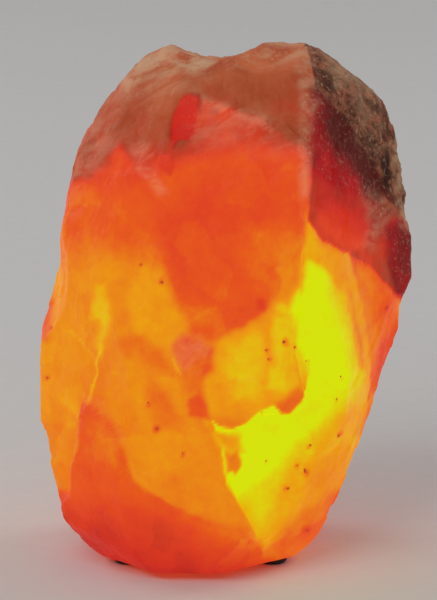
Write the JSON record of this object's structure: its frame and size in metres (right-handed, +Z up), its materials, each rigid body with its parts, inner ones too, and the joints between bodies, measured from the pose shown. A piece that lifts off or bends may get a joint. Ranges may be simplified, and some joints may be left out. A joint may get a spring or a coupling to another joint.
{
  "type": "salt crystal lamp",
  "caption": "Rough-hewn block of rock salt, bored from below for a push-in lamp holder on a spring clip with a small screw-in bulb, standing on rubber feet.",
  "frame": {"origin": "centre of the bounding box's footprint, on the plane that the rubber feet stand on", "axes": "+Z up the block's height, the face in the picture towards -Y, +X to that face's right; the lamp bore is at x = -10 mm, y = 0"},
  "size_m": [0.1507, 0.1293, 0.211],
  "materials": {
    "rock_salt": "rough translucent crystal, lit from inside",
    "foot_rubber": "matt",
    "holder_plastic": "satin moulding",
    "bush_plastic": "satin moulding",
    "nut_plastic": "satin moulding",
    "glazed_ceramic": "glazed",
    "contact_brass": "bright",
    "plated_steel": "zinc plated",
    "spring_bronze": "springy strip",
    "spring_steel": "bright rolled strip",
    "solder": "dull tinned solder",
    "black_glass": "black vitrite glass",
    "cap_metal": "bright rolled thread",
    "cement": "matt basing cement",
    "clear_glass": "clear",
    "stem_glass": "clear pressed glass",
    "lead_wire": "drawn wire",
    "filament_wire": "glowing coil"
  },
  "bodies": {
    "salt": {"salt_block": "rock_salt", "rubber_feet": "foot_rubber"},
    "fitting": {"holder_cap": "holder_plastic", "cord_bush": "bush_plastic", "bush_nut": "nut_plastic", "holder_shell": "holder_plastic", "holder_ring": "holder_plastic", "contact_carrier": "glazed_ceramic", "screw_contact": "contact_brass", "side_contact": "contact_brass", "terminal_blocks": "contact_brass", "terminal_screws": "plated_steel", "leaf_rivet": "contact_brass", "clip_plate": "spring_steel"},
    "wing_left": {"clip_wing_left": "spring_steel"},
    "wing_right": {"clip_wing_right": "spring_steel"},
    "contact_leaf": {"centre_contact": "spring_bronze"},
    "bulb_seat": {"bulb_tip_contact": "solder"},
    "bulb": {"bulb_insulator": "black_glass", "bulb_cap": "cap_metal", "bulb_cement": "cement", "bulb_glass": "clear_glass", "bulb_stem": "stem_glass", "bulb_lead_wires": "lead_wire", "bulb_filament": "filament_wire", "filament_hooks": "lead_wire"}
  },
  "joints": [
    {"name": "fitting_pull", "type": "slide", "parent": "salt", "child": "fitting", "axis": [0, 0, -1], "range_m": [0, 0.115]},
    {"name": "wing_left_squeeze", "type": "hinge", "parent": "fitting", "child": "wing_left", "pos_m": [-0.0309, 0, 0.053], "axis": [0, -1, 0], "range_deg": [0, 7], "stiffness_Nm_per_rad": 0.1, "springref_deg": -9.17},
    {"name": "wing_right_squeeze", "type": "hinge", "parent": "fitting", "child": "wing_right", "pos_m": [0.0109, 0, 0.053], "axis": [0, 1, 0], "range_deg": [0, 7], "stiffness_Nm_per_rad": 0.1, "springref_deg": -9.17},
    {"name": "contact_leaf_press", "type": "hinge", "parent": "fitting", "child": "contact_leaf", "pos_m": [-0.0166, 0, 0.0492], "axis": [0, 1, 0], "range_deg": [0, 4], "stiffness_Nm_per_rad": 0.02, "springref_deg": -6.88},
    {"name": "bulb_rise", "type": "slide", "parent": "fitting", "child": "bulb_seat", "axis": [0, 0, 1], "range_m": [0, 0.01127]},
    {"name": "bulb_turn", "type": "hinge", "parent": "bulb_seat", "child": "bulb", "pos_m": [-0.01, 0, 0.064], "axis": [0, 0, 1], "range_deg": [0, 1440]}
  ],
  "couplings": [
    {"joint": "bulb_turn", "follows": "bulb_rise", "rad_per_m": 2228.2}
  ]
}
